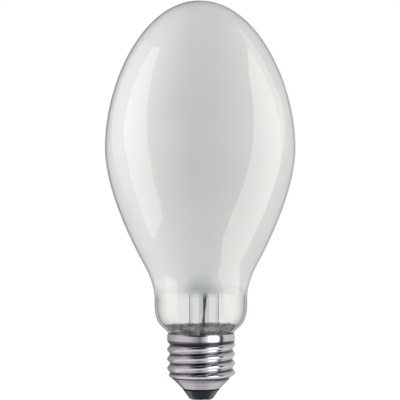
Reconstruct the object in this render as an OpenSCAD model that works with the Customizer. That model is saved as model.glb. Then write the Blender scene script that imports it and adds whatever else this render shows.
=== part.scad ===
// High pressure sodium lamp: a coated elliptical bulb on a large Edison screw cap.
// The lamp axis is +Z and the origin is at the crown of the centre contact.
// The front of the lamp faces -Y, and the side solder joint is at the back, +Y.

/* [Bulb] */
// Overall length of the lamp
lamp_length = 156; // [150:0.5:165]
// Largest outer diameter of the bulb
bulb_diameter = 73.8; // [68:0.2:80]
// Height of the largest diameter
belly_height = 99; // [94:0.5:104]
// Thickness of the glass wall
glass_wall = 0.8; // [0.5:0.1:1.2]
// Outer diameter of the clear neck
neck_diameter = 35.9; // [34:0.1:38]
// Height at which the flank runs into the neck
neck_top = 40.4; // [39:0.2:43]
// Height at which the neck starts to draw in
neck_bottom = 38.5; // [36:0.5:39]
// Half angle of the flank at its steepest
flank_angle = 27.4; // [24:0.2:30]
// Outer diameter of the glass inside the cap
inner_neck_diameter = 21.2; // [20:0.1:21.6]

/* [Coating] */
// Thickness of the white powder coating
coating_thickness = 0.12; // [0.06:0.02:0.3]
// Height of the coating's lower edge
coating_edge = 41.3; // [41:0.5:60]

/* [Stem] */
// Sideways offset of the stem from the lamp axis
stem_offset = 1.2; // [0:0.1:1.5]
// Outer diameter of the stem tube
stem_diameter = 11.5; // [10.5:0.1:12.5]
// Wall of the stem tube
stem_wall = 1; // [0.8:0.1:1.2]
// Height of the glass seal's underside inside the cap
seal_height = 14.5; // [13.5:0.1:15.5]
// Outer diameter of the flare where it meets the neck
flare_diameter = 16.8; // [15.5:0.1:17]
// Height at which the flare has become a plain tube
flare_top = 25; // [22:0.5:30]
// Height of the top of the pinched press
press_top = 52; // [50:0.5:56]
// Length of the press
press_length = 9; // [7:0.5:10]
// Thickness of the press
press_thickness = 4.6; // [4.2:0.1:5.4]
// Outer diameter of the exhaust tube
exhaust_diameter = 3.5; // [3:0.1:3.9]
// Bore of the exhaust tube
exhaust_bore = 2.1; // [1.4:0.1:2.2]

/* [Lead-in wires and frame] */
// Distance of each lead-in wire from the middle of the press
lead_spacing = 3.3; // [3.1:0.1:3.6]
// Diameter of the lead-in wires
lead_diameter = 0.7; // [0.5:0.05:0.8]
// Diameter of the side rod
rod_diameter = 1.5; // [1.2:0.1:1.8]
// Distance of the side rod from the arc tube's axis
rod_distance = 9.5; // [8.5:0.5:12]
// Thickness of the nickel straps
strap_thickness = 0.4; // [0.3:0.05:0.5]
// Height of the nickel straps
strap_height = 3; // [2:0.25:4]
// Diameter of the flexible lead and of the getter arm
fine_wire_diameter = 0.6; // [0.4:0.05:0.8]

/* [Arc tube] */
// Height of the arc tube's lower end
arc_bottom = 71; // [68.5:0.5:74]
// Room between the arc tube's upper end and the top of the dome
dome_room = 27; // [22:0.5:36]
// Outer diameter of the arc tube
arc_diameter = 5.6; // [5.2:0.1:6.4]
// Wall of the arc tube
arc_wall = 0.75; // [0.6:0.05:0.8]
// Length of the ceramic end plugs
plug_length = 4; // [3:0.25:6]
// Outer diameter of the niobium tubes
niobium_diameter = 2; // [1.8:0.1:2.2]
// Length of niobium tube that stands out of the plug
niobium_reach = 9; // [8:0.5:10]
// Diameter of the tungsten electrodes
electrode_diameter = 0.8; // [0.6:0.05:0.9]
// Distance that an electrode reaches past its plug
electrode_reach = 6; // [5.5:0.25:8]
// Diameter of the coil wire on the electrodes
coil_wire_diameter = 0.35; // [0.25:0.05:0.45]

/* [Getter] */
// Outer diameter of the getter ring
getter_diameter = 8; // [6:0.5:9]
// Height of the getter ring's channel
getter_height = 1.2; // [1:0.1:1.6]

/* [Cap] */
// Height of the cap's rim above the contact
cap_height = 27; // [26.5:0.1:27.5]
// Thickness of the cap's sheet
cap_sheet = 0.25; // [0.2:0.01:0.3]
// Outer diameter of the plain skirt
skirt_diameter = 25.8; // [25.6:0.1:26.2]
// How far the skirt swells out between its rim and the first groove
skirt_bulge = 0.22; // [0.05:0.01:0.3]
// Depth of the plain skirt
skirt_depth = 3.3; // [3:0.1:3.6]
// Diameter over the thread crests
thread_diameter = 26.4; // [26.1:0.05:26.45]
// Diameter in the thread grooves
groove_diameter = 24.3; // [24.2:0.05:24.7]
// Rise of the thread in one turn
thread_pitch = 3.629; // [3.4:0.01:3.8]
// Diameter of the shell's lower edge
shell_edge_diameter = 14.9; // [14:0.1:15.6]
// Height of the shell's lower edge
shell_edge_height = 5.7; // [5.2:0.1:6.2]
// Angle of the shell's lower cone from the axis
cone_angle = 44.5; // [43:0.5:46]
// Height of the black glass insulator's underside
insulator_bottom = 1.7; // [1.4:0.1:2]
// Diameter of the insulator at its underside
insulator_diameter = 9.8; // [9.2:0.1:10.4]
// Diameter of the centre contact
contact_diameter = 8.2; // [7.4:0.1:9]
// Thickness of the centre contact
contact_thickness = 0.5; // [0.4:0.05:0.6]
// Diameter of the eyelet under the contact
eyelet_diameter = 3; // [2.6:0.1:3.4]
// Diameter of the solder on the contact
solder_diameter = 5; // [4.4:0.2:6]

/* [Clearances] */
// Gap between a wire or tube and the hole that it passes through
wire_gap = 0.03; // [0.02:0.01:0.06]
// Gap between the upper niobium tube and the strap that it slides in
slide_gap = 0.12; // [0.05:0.01:0.2]
// Gap between the cement and the cap's sheet
cement_gap = 0.05; // [0.03:0.01:0.1]
// Gap between the insulator and the cap's sheet
insulator_gap = 0.1; // [0.05:0.01:0.15]

/* [Hidden] */
$fn = 64;

// Curve steps along one stretch of the glass outline
curve_steps = 14;
// Handles that shape each stretch of the glass outline
dome_round = 0.603;
dome_drop = 0.434;
belly_pull = 13.75;
flank_pull = 13;
flank_radius = 23.5;
flank_height = 56.6;
flank_exit = 3.2;
neck_pull = 7.1;
shoulder_radius = 13.3;
shoulder_height = cap_height + 1;
shoulder_angle = 39;
shoulder_pull = 8.1;
shoulder_exit = 2.5;
inner_neck_top = cap_height - 2.6;
inner_neck_pull = 1.6;

// Glass inside the cap: rounded corner and lip of the seal
bulb_radius = bulb_diameter / 2;
neck_radius = neck_diameter / 2;
inner_neck_radius = inner_neck_diameter / 2;
seal_corner = 1.2;
seal_lip_radius = 6;
seal_top = seal_height + glass_wall;

// Stem, press and exhaust tube
stem_radius = stem_diameter / 2;
flare_radius = flare_diameter / 2;
press_bottom = press_top - press_length;
press_width = stem_diameter;
stem_ceiling = press_bottom + 1.2;
exhaust_radius = exhaust_diameter / 2;
exhaust_end = seal_height - 2;
exhaust_tip = exhaust_end - 3;
vent_height = stem_ceiling + 2.8;

// Lead-in wires, side rod and straps
lead_radius = lead_diameter / 2;
lead_skew = 0.9;
rod_radius = rod_diameter / 2;
rod_foot = press_top + 1.5;
rod_start = lead_spacing + lead_radius + rod_radius + wire_gap;
fine_radius = fine_wire_diameter / 2;

// Arc tube and what it holds
arc_top = lamp_length - dome_room;
arc_length = arc_top - arc_bottom;
arc_height = (arc_top + arc_bottom) / 2;
arc_radius = arc_diameter / 2;
arc_bore_radius = arc_radius - arc_wall;
plug_radius = arc_bore_radius;
niobium_radius = niobium_diameter / 2;
niobium_bore_radius = niobium_radius - 0.3;
niobium_in = plug_length - 1;
niobium_floor = 1.5;
electrode_radius = electrode_diameter / 2;
seal_ring_height = 0.6;
lower_niobium_end = arc_bottom - niobium_reach;
upper_niobium_end = arc_top + niobium_reach;
strap_drop = 1.2;
lower_strap_base = lower_niobium_end + strap_drop;
upper_strap_base = upper_niobium_end - strap_drop - strap_height;
lead_top = lower_strap_base + strap_height;
rod_top = upper_niobium_end - 0.5;
flexible_rise = 5;
coil_turns = 6;
coil_pitch = 1.3 * coil_wire_diameter;
coil_radius = electrode_radius + coil_wire_diameter / 2 + wire_gap;
coil_base = electrode_reach - 1.2 - coil_turns * coil_pitch;

// Getter ring and its arm
getter_radius = getter_diameter / 2;
getter_wall = 0.2;
getter_channel = 1.4;
getter_arm_reach = 3.4;
getter_arm_rise = 5;
getter_level = rod_foot + 11;
getter_centre = rod_distance + rod_radius + fine_wire_diameter + getter_arm_reach + getter_radius;

// Cap shell: skirt, rolled thread, lower cone and the notch for the lead
skirt_radius = skirt_diameter / 2;
thread_middle = (thread_diameter + groove_diameter) / 4;
thread_amplitude = (thread_diameter - groove_diameter) / 4;
thread_top = cap_height - skirt_depth;
first_crest = cap_height - 6.17;
thread_fade_in = 0.6;
thread_fade_out = 3.6;
shell_edge_radius = shell_edge_diameter / 2;
cone_top = shell_edge_height + (thread_middle - shell_edge_radius) / tan(cone_angle);
thread_end = cone_top - 3.2;
shell_sides = 56;
skirt_rows = 4;
outer_rows_per_turn = 10;
inner_rows_per_turn = 8;
last_row_drop = 0.45;
flank_thickening = 1.2;
notch_depth = 1.35;
notch_angle = 14;
notch_at = 90;

// Insulator, contact and solder
insulator_top = shell_edge_height + 2.4;
insulator_bore_radius = eyelet_diameter / 2 + wire_gap;
insulator_lip_radius = shell_edge_radius - insulator_gap;
insulator_lip_height = shell_edge_height - 0.15;
insulator_round = 0.7;
insulator_radius = insulator_diameter / 2;
contact_top = insulator_bottom;
contact_bottom = contact_top - contact_thickness;
eyelet_wall = 0.3;
eyelet_length = 2.6;
solder_flat_radius = 1.3;
solder_neck_radius = eyelet_diameter / 2 - eyelet_wall;

// Way of the shell lead round the glass seal and over the rim, and the solder on its end
side_lead_radius = skirt_radius - cap_sheet - lead_radius - cement_gap;
side_solder_radius = 1.6;
side_solder_sink = 0.2;
side_solder_drop = 1.35;
side_lead_drop = 1.6;
side_bend = (cap_sheet + lead_diameter + 0.3) / 2;
notch_floor = cap_height - notch_depth;
lead_over = notch_floor + lead_diameter + 0.15;
lead_run = seal_height - 1.6;
lead_clearance = 0.2;
lead_gutter = inner_neck_radius + lead_radius + lead_clearance;

// A unit vector along v
function unit(v) = v / norm(v);

// A cubic curve from a to d, shaped by the handles b and c
function curve(a, b, c, d, steps = curve_steps) = [
    for (i = [0:steps])
        let (t = i / steps, s = 1 - t)
            s * s * s * a + 3 * s * s * t * b + 3 * s * t * t * c + t * t * t * d
];

// A list without its first item
function tail(list) = [for (i = [1:len(list) - 1]) list[i]];

// The direction down an outline that leans by an angle from the axis
function down(angle) = [-sin(angle), -cos(angle)];

// Soft step from 0 to 1
function soften(x) = let (t = min(max(x, 0), 1)) t * t * (3 - 2 * t);

// Outline of the glass from the top of the dome to the seal, as radius and height
function glass_outline() =
    let (
        flank = [flank_radius, flank_height],
        shoulder = [shoulder_radius, shoulder_height]
    )
    concat(
        curve([0, lamp_length], [bulb_radius * dome_round, lamp_length],
              [bulb_radius, belly_height + (lamp_length - belly_height) * dome_drop],
              [bulb_radius, belly_height], 2 * curve_steps),
        tail(curve([bulb_radius, belly_height], [bulb_radius, belly_height - belly_pull],
                   flank - down(flank_angle) * flank_pull, flank)),
        tail(curve(flank, flank + down(flank_angle) * flank_exit,
                   [neck_radius, neck_top + neck_pull], [neck_radius, neck_top])),
        tail(curve([neck_radius, neck_bottom], [neck_radius, neck_bottom - shoulder_pull],
                   shoulder - down(shoulder_angle) * shoulder_exit, shoulder)),
        tail(curve(shoulder, shoulder + down(shoulder_angle) * inner_neck_pull,
                   [inner_neck_radius, inner_neck_top + inner_neck_pull],
                   [inner_neck_radius, inner_neck_top], 6)),
        [[inner_neck_radius, seal_height + seal_corner]]
    );

// An outline moved inwards along its normals by a distance
function inset(line, distance) = [
    for (i = [0:len(line) - 1])
        let (
            before = line[max(i - 1, 0)],
            after = line[min(i + 1, len(line) - 1)],
            run = i == 0 ? [1, 0] : i == len(line) - 1 ? [0, -1] : unit(after - before)
        )
            line[i] + distance * [run[1], -run[0]]
];

// The part of a falling outline that lies above a height, ending on that height
function above(line, height) =
    let (
        kept = [for (p = line) if (p[1] > height) p],
        last = line[len(kept) - 1],
        next = line[len(kept)],
        share = (last[1] - height) / (last[1] - next[1])
    )
    concat(kept, [last + share * (next - last)]);

// A list in the other order
function backwards(list) = [for (i = [len(list) - 1:-1:0]) list[i]];

// A path whose corners are rounded, each starting a set distance before the corner
function rounded(path, reach, steps = 4) = [
    for (i = [0:len(path) - 1])
        if (i == 0 || i == len(path) - 1)
            path[i]
        else
            let (
                a = path[i] + unit(path[i - 1] - path[i]) * reach,
                b = path[i] + unit(path[i + 1] - path[i]) * reach
            )
            for (k = [0:steps])
                let (t = k / steps)
                    (1 - t) * (1 - t) * a + 2 * t * (1 - t) * path[i] + t * t * b
];

// A round wire along a path. The side vector is never parallel to the path.
module wire(path, radius, side = [1, 0, 0], sides = 10) {
    count = len(path);
    rings = [
        for (i = [0:count - 1])
            let (
                along = unit(path[min(i + 1, count - 1)] - path[max(i - 1, 0)]),
                across = unit(side - (side * along) * along),
                over = cross(along, across)
            )
            for (k = [0:sides - 1])
                let (a = 360 * k / sides)
                    path[i] + radius * (cos(a) * across + sin(a) * over)
    ];
    walls = [
        for (i = [0:count - 2])
            for (k = [0:sides - 1])
                let (
                    m = (k + 1) % sides,
                    a = i * sides + k,
                    b = (i + 1) * sides + k,
                    c = (i + 1) * sides + m,
                    d = i * sides + m
                )
                each [[a, b, c], [a, c, d]]
    ];
    start = [for (k = [0:sides - 1]) k];
    finish = [for (k = [sides - 1:-1:0]) (count - 1) * sides + k];
    polyhedron(rings, concat(walls, [start, finish]), convexity = 6);
}

// Places the stem and everything that it carries
module on_stem() {
    translate([stem_offset, 0, 0])
        children();
}

// Turns a piece of the arc tube's lower end into the same piece at its upper end
module at_upper_end() {
    translate([0, 0, 2 * arc_height])
        mirror([0, 0, 1])
            children();
}

// A ring about the Z axis with a rectangular section
module ring(inner, outer, base, height) {
    rotate_extrude()
        translate([inner, base])
            square([outer - inner, height]);
}

// Blown glass envelope, open below where the stem is sealed in
module outer_bulb() {
    outside = glass_outline();
    inside = inset(outside, glass_wall);
    corner = [
        for (i = [1:5])
            let (a = 18 * i)
                [inner_neck_radius - seal_corner + seal_corner * cos(a),
                 seal_height + seal_corner - seal_corner * sin(a)]
    ];
    color([0.86, 0.88, 0.88, 0.45])
        rotate_extrude()
            polygon(concat(
                outside,
                corner,
                [[seal_lip_radius, seal_height], [seal_lip_radius, seal_top],
                 [inner_neck_radius - glass_wall, seal_top]],
                backwards(inside)
            ));
}

// White powder layer on the inside of the glass, with a clear neck below it
module diffusing_coating() {
    outside = above(inset(glass_outline(), glass_wall), coating_edge);
    inside = above(inset(glass_outline(), glass_wall + coating_thickness), coating_edge);
    color([0.95, 0.95, 0.93, 0.8])
        rotate_extrude()
            polygon(concat(outside, backwards(inside)));
}

// Flared glass tube, closed at the top by the pinched press that holds the wires
module stem() {
    outside = concat(
        curve([flare_radius, seal_top], [flare_radius - 1.2, seal_top + 3],
              [stem_radius, flare_top - 4], [stem_radius, flare_top], 8),
        curve([stem_radius, press_bottom - 1.5], [stem_radius, press_bottom + 1],
              [press_thickness / 2 + 1.2, press_bottom + 1.6],
              [press_thickness / 2, press_bottom + 4], 6)
    );
    inside = concat(
        curve([flare_radius - stem_wall, seal_top], [flare_radius - stem_wall - 1.2, seal_top + 3],
              [stem_radius - stem_wall, flare_top - 4], [stem_radius - stem_wall, flare_top], 8),
        curve([stem_radius - stem_wall, press_bottom - 2.5],
              [stem_radius - stem_wall, press_bottom - 0.8],
              [exhaust_radius + 1.6, stem_ceiling], [exhaust_radius + 0.4, stem_ceiling], 5)
    );
    color([0.8, 0.86, 0.86, 0.5])
        on_stem()
            difference() {
                union() {
                    rotate_extrude()
                        polygon(concat(
                            outside, [[0, press_bottom + 4], [0, stem_ceiling]], backwards(inside)
                        ));
                    press();
                }
                press_bores();
            }
}

// The flat press, wider along Y, with half-round edges
module press() {
    reach = press_width / 2 - press_thickness / 2;
    translate([0, 0, press_bottom + 2.4])
        linear_extrude(press_length - 2.4)
            union() {
                square([press_thickness, 2 * reach], center = true);
                translate([0, reach])
                    circle(press_thickness / 2);
                translate([0, -reach])
                    circle(press_thickness / 2);
            }
}

// Holes in the press for the wires and for the vent of the exhaust tube
module press_bores() {
    for (place = [[lead_skew, -lead_spacing], [0, lead_spacing]])
        translate([place[0], place[1], press_bottom - 3])
            cylinder(h = press_length + 4, r = lead_radius + wire_gap);
    translate([0, 0, stem_ceiling - 1])
        cylinder(h = vent_height - stem_ceiling + 1, r = exhaust_bore / 2);
    translate([0, 0, vent_height])
        rotate([0, 90, 0])
            cylinder(h = press_thickness, r = exhaust_bore / 2, center = false);
}

// Thin tube inside the stem through which the bulb was emptied, closed at its tip
module exhaust_tube() {
    color([0.8, 0.86, 0.86, 0.5])
        on_stem()
            rotate_extrude()
                polygon([
                    [exhaust_bore / 2, stem_ceiling],
                    [exhaust_radius, stem_ceiling],
                    [exhaust_radius, exhaust_end],
                    [exhaust_radius * 0.8, exhaust_end - 1.1],
                    [exhaust_radius * 0.4, exhaust_end - 2.3],
                    [0, exhaust_tip],
                    [0, exhaust_end - 1],
                    [exhaust_bore / 4, exhaust_end - 0.7],
                    [exhaust_bore / 2, exhaust_end + 0.4]
                ]);
}

// Wire from the lower strap through the press and the cap to the centre contact
module contact_lead() {
    path = rounded([
        [stem_offset + lead_skew, -lead_spacing, lead_top],
        [stem_offset + lead_skew, -lead_spacing, press_bottom - 0.6],
        [stem_offset - lead_skew, -lead_spacing, press_bottom - 16],
        [0, -lead_spacing + 0.3, seal_height - 0.5],
        [0, 0, insulator_top + 0.8],
        [0, 0, contact_bottom]
    ], 0.6);
    color([0.42, 0.4, 0.38])
        wire(path, lead_radius);
}

// Wire from the side rod through the press and over the cap's rim to the side solder
module shell_lead() {
    path = rounded([
        [stem_offset, lead_spacing, press_top + 5],
        [stem_offset, lead_spacing, lead_run],
        [0, lead_gutter, lead_run],
        [0, lead_gutter, thread_top - 1.2],
        [0, side_lead_radius, thread_top + 0.3],
        [0, side_lead_radius, lead_over],
        [0, side_lead_radius + 2 * side_bend, lead_over],
        [0, side_lead_radius + 2 * side_bend, notch_floor - side_lead_drop]
    ], 0.58);
    color([0.42, 0.4, 0.38])
        wire(path, lead_radius);
}

// Stiff rod that starts beside the shell lead and runs up behind the arc tube
module side_rod() {
    path = rounded([
        [stem_offset, rod_start, rod_foot],
        [stem_offset, rod_start, rod_foot + 4],
        [stem_offset, rod_distance, rod_foot + 9],
        [stem_offset, rod_distance, rod_top]
    ], 1.6);
    color([0.6, 0.59, 0.57])
        wire(path, rod_radius, sides = 12);
}

// A nickel strap with an eye round the niobium tube and an eye round a post
module strap(eye_radius, post_radius, reach, post_shift) {
    wall = strap_thickness;
    run = [post_shift, reach];
    turn = atan2(run[1], run[0]);
    difference() {
        union() {
            cylinder(h = strap_height, r = eye_radius + wall);
            translate([post_shift, reach, 0])
                cylinder(h = strap_height, r = post_radius + wall);
            rotate([0, 0, turn])
                translate([0, -wall, 0])
                    cube([norm(run), 2 * wall, strap_height]);
        }
        translate([0, 0, -1])
            cylinder(h = strap_height + 2, r = eye_radius);
        translate([post_shift, reach, -1])
            cylinder(h = strap_height + 2, r = post_radius);
    }
}

// Strap that carries the arc tube's lower end on the contact lead
module lower_strap() {
    color([0.66, 0.65, 0.62])
        translate([stem_offset, 0, lower_strap_base])
            strap(niobium_radius + wire_gap, lead_radius + wire_gap, -lead_spacing, lead_skew);
}

// Strap on the side rod in whose eye the arc tube's upper end slides as it grows hot
module upper_strap() {
    color([0.66, 0.65, 0.62])
        translate([stem_offset, 0, upper_strap_base])
            strap(niobium_radius + slide_gap, rod_radius + wire_gap, rod_distance, 0);
}

// Thin wire that carries the current over the sliding eye
module flexible_lead() {
    path = rounded([
        [stem_offset, rod_distance, rod_top],
        [stem_offset, rod_distance, rod_top + flexible_rise],
        [stem_offset, 0, rod_top + flexible_rise],
        [stem_offset, 0, upper_niobium_end]
    ], 3, 5);
    color([0.7, 0.69, 0.66])
        wire(path, fine_radius);
}

// Short wire from the side rod to the getter ring
module getter_arm() {
    at_rod = rod_distance + rod_radius + fine_radius + wire_gap;
    path = rounded([
        [stem_offset, at_rod, getter_level + getter_arm_rise],
        [stem_offset, at_rod, getter_level + getter_height / 2],
        [stem_offset, getter_centre - getter_radius - wire_gap, getter_level + getter_height / 2]
    ], 1);
    color([0.66, 0.65, 0.62])
        wire(path, fine_radius);
}

// Ring-shaped channel, open downwards, that held the metal which binds stray gas
module getter_ring() {
    inner = getter_radius - getter_channel;
    color([0.5, 0.5, 0.5])
        translate([stem_offset, getter_centre, getter_level])
            rotate_extrude()
                polygon([
                    [inner, 0], [inner, getter_height],
                    [getter_radius, getter_height], [getter_radius, 0],
                    [getter_radius - getter_wall, 0],
                    [getter_radius - getter_wall, getter_height - getter_wall],
                    [inner + getter_wall, getter_height - getter_wall],
                    [inner + getter_wall, 0]
                ]);
}

// Translucent alumina tube in which the arc burns
module arc_tube() {
    color([0.96, 0.95, 0.92])
        on_stem()
            ring(arc_bore_radius, arc_radius, arc_bottom, arc_length);
}

// Alumina plug that closes an end of the arc tube
module lower_plug() {
    color([0.93, 0.92, 0.88])
        on_stem()
            ring(niobium_radius + wire_gap, plug_radius, arc_bottom, plug_length);
}

module upper_plug() {
    at_upper_end()
        lower_plug();
}

// Fillet of sealing glass between a plug and its niobium tube
module lower_seal() {
    color([0.85, 0.83, 0.74])
        on_stem()
            rotate_extrude()
                polygon([
                    [niobium_radius + wire_gap, arc_bottom],
                    [plug_radius - 0.1, arc_bottom],
                    [niobium_radius + wire_gap + 0.25, arc_bottom - seal_ring_height],
                    [niobium_radius + wire_gap, arc_bottom - seal_ring_height]
                ]);
}

module upper_seal() {
    at_upper_end()
        lower_seal();
}

// Niobium tube that carries the current into the arc tube
module lower_niobium_tube() {
    inner_end = arc_bottom + niobium_in;
    color([0.52, 0.53, 0.56])
        on_stem()
            rotate_extrude()
                polygon([
                    [niobium_bore_radius, lower_niobium_end],
                    [niobium_radius, lower_niobium_end],
                    [niobium_radius, inner_end],
                    [electrode_radius, inner_end],
                    [electrode_radius, inner_end - niobium_floor],
                    [niobium_bore_radius, inner_end - niobium_floor]
                ]);
}

// The upper tube is pinched shut, so that the flexible lead stands on its end
module upper_niobium_tube() {
    inner_end = arc_top - niobium_in;
    color([0.52, 0.53, 0.56])
        on_stem()
            rotate_extrude()
                polygon([
                    [0, upper_niobium_end],
                    [niobium_radius, upper_niobium_end],
                    [niobium_radius, inner_end],
                    [electrode_radius, inner_end],
                    [electrode_radius, inner_end + niobium_floor],
                    [niobium_bore_radius, inner_end + niobium_floor],
                    [niobium_bore_radius, upper_niobium_end - 1],
                    [0, upper_niobium_end - 1]
                ]);
}

// Tungsten rod held in the closed end of the niobium tube
module lower_electrode() {
    base = arc_bottom + niobium_in - niobium_floor;
    tip = arc_bottom + plug_length + electrode_reach;
    color([0.38, 0.38, 0.4])
        on_stem()
            translate([0, 0, base])
                cylinder(h = tip - base, r = electrode_radius);
}

module upper_electrode() {
    at_upper_end()
        lower_electrode();
}

// Tungsten coil wound on an electrode near its tip
module lower_coil() {
    base = arc_bottom + plug_length + coil_base;
    step = 10;
    path = [
        for (i = [0:step * coil_turns])
            let (a = 360 * i / step)
                [coil_radius * cos(a), coil_radius * sin(a),
                 base + coil_pitch * i / step]
    ];
    color([0.34, 0.34, 0.36])
        on_stem()
            wire(path, coil_wire_diameter / 2, side = [0, 0, 1], sides = 6);
}

module upper_coil() {
    at_upper_end()
        lower_coil();
}

// Pool of sodium amalgam on the lower plug, the coolest place in the arc tube
module amalgam() {
    base = arc_bottom + plug_length;
    color([0.75, 0.76, 0.78])
        on_stem()
            rotate_extrude()
                polygon([
                    [niobium_radius + 0.2, base],
                    [plug_radius - wire_gap, base],
                    [plug_radius - wire_gap, base + 0.35],
                    [niobium_radius + 0.5, base + 0.25]
                ]);
}

// Height of the cap's rim at an angle, with the notch through which the lead comes out
function rim_height(angle) =
    cap_height - notch_depth * soften(1 - abs(angle - notch_at) / notch_angle);

// Radius of the cap without its thread: skirt, thread's middle and lower cone
function plain_radius(z) =
    let (
        depth = (cap_height - z) / skirt_depth,
        skirt = skirt_radius + skirt_bulge * (depth < 1 ? sin(180 * depth) : 0),
        body = thread_middle
            + (skirt - thread_middle) * (1 - soften((thread_top - z) / thread_fade_in)),
        cone = shell_edge_radius + (z - shell_edge_height) * tan(cone_angle)
    )
    min(body, cone);

// Radius of the cap's outside at a height and an angle, with a right-hand rolled thread
function shell_radius(z, angle) =
    plain_radius(z)
    + thread_amplitude
        * soften((thread_top - z) / thread_fade_in)
        * soften((z - thread_end) / thread_fade_out)
        * cos(360 * (z - first_crest) / thread_pitch - angle + 180);

// Thickness of the sheet, measured level
function level_sheet(z) =
    cap_sheet * (z < cone_top ? 1 / cos(cone_angle) : z < thread_top ? flank_thickening : 1);

// Heights of the cap's rows of points, from the rim down
function row_heights(per_turn) =
    let (
        step = thread_pitch / per_turn,
        count = floor((thread_top - thread_end) / step)
    )
    concat(
        [for (i = [0:skirt_rows - 1]) cap_height - skirt_depth * i / skirt_rows],
        [for (i = [0:count]) thread_top - step * i],
        [thread_end - last_row_drop, shell_edge_height]
    );

// Thin sheet shell with the rolled thread, open at both ends
module cap_shell() {
    outer_rows = row_heights(outer_rows_per_turn);
    inner_rows = backwards(row_heights(inner_rows_per_turn));
    rows = concat(
        [for (z = outer_rows) [z, 0]],
        [for (z = inner_rows) [z, 1]]
    );
    points = [
        for (row = rows)
            for (k = [0:shell_sides - 1])
                let (
                    a = 360 * k / shell_sides,
                    share = max(0, (row[0] - thread_top) / skirt_depth),
                    z = row[0] - (cap_height - rim_height(a)) * share,
                    r = shell_radius(z, a) - row[1] * level_sheet(row[0])
                )
                    [r * cos(a), r * sin(a), z]
    ];
    count = len(rows);
    faces = [
        for (i = [0:count - 1])
            for (k = [0:shell_sides - 1])
                let (
                    m = (k + 1) % shell_sides,
                    j = (i + 1) % count,
                    a = i * shell_sides + k,
                    b = i * shell_sides + m,
                    c = j * shell_sides + m,
                    d = j * shell_sides + k
                )
                each [[a, b, c], [a, c, d]]
    ];
    color([0.8, 0.79, 0.82])
        polyhedron(points, faces, convexity = 10);
}

// Ring of cement between the glass neck and the cap's skirt, open where the lead passes
module cap_cement() {
    base = thread_top + 0.5;
    top = cap_height - 0.3;
    outer = skirt_radius - cap_sheet - cement_gap;
    neck_side = [for (p = above(glass_outline(), base)) if (p[1] < top) p];
    slot = 2 * asin((lead_radius + lead_clearance) / inner_neck_radius);
    color([0.55, 0.53, 0.48])
        rotate_extrude(angle = 360 - slot, start = notch_at + slot / 2)
            polygon(concat([[outer, base], [outer, top]], neck_side));
}

// Black glass that fills the bottom of the shell and carries the centre contact
module cap_insulator() {
    inner_cone = [
        for (z = [shell_edge_height, insulator_top])
            [shell_edge_radius + (z - shell_edge_height) * tan(cone_angle)
                - cap_sheet / cos(cone_angle) - insulator_gap, z]
    ];
    foot = [insulator_radius, insulator_bottom + insulator_round / 2];
    slant = unit([insulator_lip_radius, insulator_lip_height] - foot);
    color([0.06, 0.1, 0.09])
        rotate_extrude()
            polygon(concat(
                [[insulator_bore_radius, insulator_bottom]],
                curve([insulator_radius - insulator_round, insulator_bottom],
                      [insulator_radius - insulator_round / 3, insulator_bottom],
                      foot - slant * insulator_round / 2, foot + slant * insulator_round / 3, 6),
                [[insulator_lip_radius, insulator_lip_height]],
                inner_cone,
                [[insulator_bore_radius, insulator_top]]
            ));
}

// Stamped contact plate with the eyelet that holds it in the insulator
module centre_contact() {
    color([0.78, 0.77, 0.8])
        rotate_extrude()
            polygon([
                [eyelet_diameter / 2 - eyelet_wall, contact_bottom],
                [contact_diameter / 2 - 0.5, contact_bottom],
                [contact_diameter / 2 - 0.12, contact_bottom + 0.15],
                [contact_diameter / 2, contact_top - 0.1],
                [contact_diameter / 2, contact_top],
                [eyelet_diameter / 2, contact_top],
                [eyelet_diameter / 2, contact_top + eyelet_length],
                [eyelet_diameter / 2 - eyelet_wall, contact_top + eyelet_length]
            ]);
}

// Drop of solder on the contact, with a small flat worn on its crown
module contact_solder() {
    edge = solder_diameter / 2;
    color([0.74, 0.74, 0.76])
        rotate_extrude()
            polygon([
                [0, 0],
                [solder_flat_radius, 0],
                [solder_flat_radius + (edge - solder_flat_radius) * 0.5, contact_bottom * 0.3],
                [edge, contact_bottom],
                [0, contact_bottom]
            ]);
}

// Drop of solder on the outside of the skirt, over the end of the shell lead
module side_solder() {
    color([0.74, 0.74, 0.76])
        difference() {
            translate([0, skirt_radius - side_solder_sink, notch_floor - side_solder_drop])
                sphere(side_solder_radius);
            translate([0, 0, thread_top - side_solder_radius])
                cylinder(h = skirt_depth + 2 * side_solder_radius, r = skirt_radius + skirt_bulge + 0.05);
            translate([0, side_lead_radius + 2 * side_bend, notch_floor - side_lead_drop])
                cylinder(h = 2 * side_solder_radius, r = lead_radius + wire_gap);
        }
}

outer_bulb();
diffusing_coating();
stem();
exhaust_tube();
contact_lead();
shell_lead();
side_rod();
lower_strap();
upper_strap();
flexible_lead();
getter_arm();
getter_ring();
arc_tube();
lower_plug();
upper_plug();
lower_seal();
upper_seal();
lower_niobium_tube();
upper_niobium_tube();
lower_electrode();
upper_electrode();
lower_coil();
upper_coil();
amalgam();
cap_shell();
cap_cement();
cap_insulator();
centre_contact();
contact_solder();
side_solder();
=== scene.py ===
from math import cos, exp, pi, radians, sin, tan

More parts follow.
